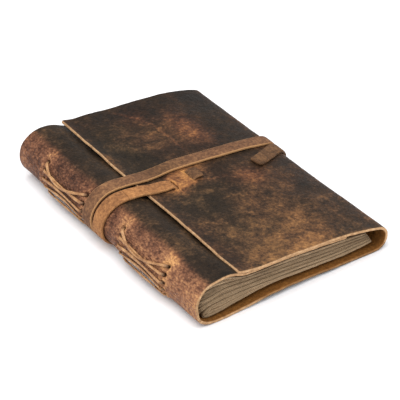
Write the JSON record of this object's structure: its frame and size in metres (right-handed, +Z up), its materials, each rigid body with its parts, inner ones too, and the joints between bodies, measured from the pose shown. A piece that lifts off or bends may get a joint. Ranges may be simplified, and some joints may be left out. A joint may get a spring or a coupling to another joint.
{
  "type": "leather notebook cover",
  "caption": "Wrap-around leather notebook cover with a sewn spine, a fore-edge flap, a tie strap and folded paper signatures.",
  "frame": {"origin": "on the table under the middle of the closed notebook, strap included", "axes": "+X from the spine to the fore-edge, +Y along the spine, +Z up out of the front cover"},
  "size_m": [0.1362, 0.178, 0.0317],
  "materials": {
    "hide": "satin, waxed and burnished",
    "strap": "matte, napped",
    "paper": "matte",
    "lacing": "satin"
  },
  "bodies": {
    "root": {"back_cover": "hide", "spine_wall": "hide", "fore_edge_fold": "hide", "sewing_near": "lacing", "sewing_far": "lacing", "signature_5": "paper"},
    "flap": {"flap": "hide", "strap_root": "strap"},
    "strap": {"strap_winding": "strap"},
    "front_cover": {"front_cover": "hide"},
    "signature_1": {"signature_1": "paper"},
    "signature_2": {"signature_2": "paper"},
    "signature_3": {"signature_3": "paper"},
    "signature_4": {"signature_4": "paper"}
  },
  "joints": [
    {"name": "flap_opening", "type": "hinge", "parent": "root", "child": "flap", "pos_m": [0.063, 0, 0.0085], "axis": [0, 1, 0], "range_deg": [0, 166], "deforming": ["flap", "fore_edge_fold", "strap_root"]},
    {"name": "strap_release", "type": "hinge", "parent": "flap", "child": "strap", "pos_m": [-0.049, 0, 0.031], "axis": [0, 1, 0], "range_deg": [-166, 0], "deforming": ["strap_winding"]},
    {"name": "front_cover_opening", "type": "hinge", "parent": "root", "child": "front_cover", "pos_m": [-0.05922, 0, 0.02856], "axis": [0, -1, 0], "range_deg": [0, 200]},
    {"name": "signature_1_turn", "type": "hinge", "parent": "front_cover", "child": "signature_1", "pos_m": [-0.0584, 0, 0.0233], "axis": [0, 1, 0], "range_deg": [0, 14]},
    {"name": "signature_2_turn", "type": "hinge", "parent": "root", "child": "signature_2", "pos_m": [-0.0611, 0, 0.0195], "axis": [0, -1, 0], "range_deg": [0, 26]},
    {"name": "signature_3_turn", "type": "hinge", "parent": "root", "child": "signature_3", "pos_m": [-0.062, 0, 0.0156], "axis": [0, -1, 0], "range_deg": [0, 15]},
    {"name": "signature_4_turn", "type": "hinge", "parent": "root", "child": "signature_4", "pos_m": [-0.0618, 0, 0.012], "axis": [0, -1, 0], "range_deg": [0, 7]}
  ],
  "couplings": [
    {"joint": "strap_release", "follows": "flap_opening", "ratio": -1},
    {"joint": "front_cover_opening", "follows": "flap_opening", "ratio": 1.2048},
    {"joint": "signature_1_turn", "follows": "flap_opening", "ratio": 0.084337},
    {"joint": "signature_2_turn", "follows": "flap_opening", "ratio": 0.15663},
    {"joint": "signature_3_turn", "follows": "flap_opening", "ratio": 0.090361},
    {"joint": "signature_4_turn", "follows": "flap_opening", "ratio": 0.042169}
  ]
}
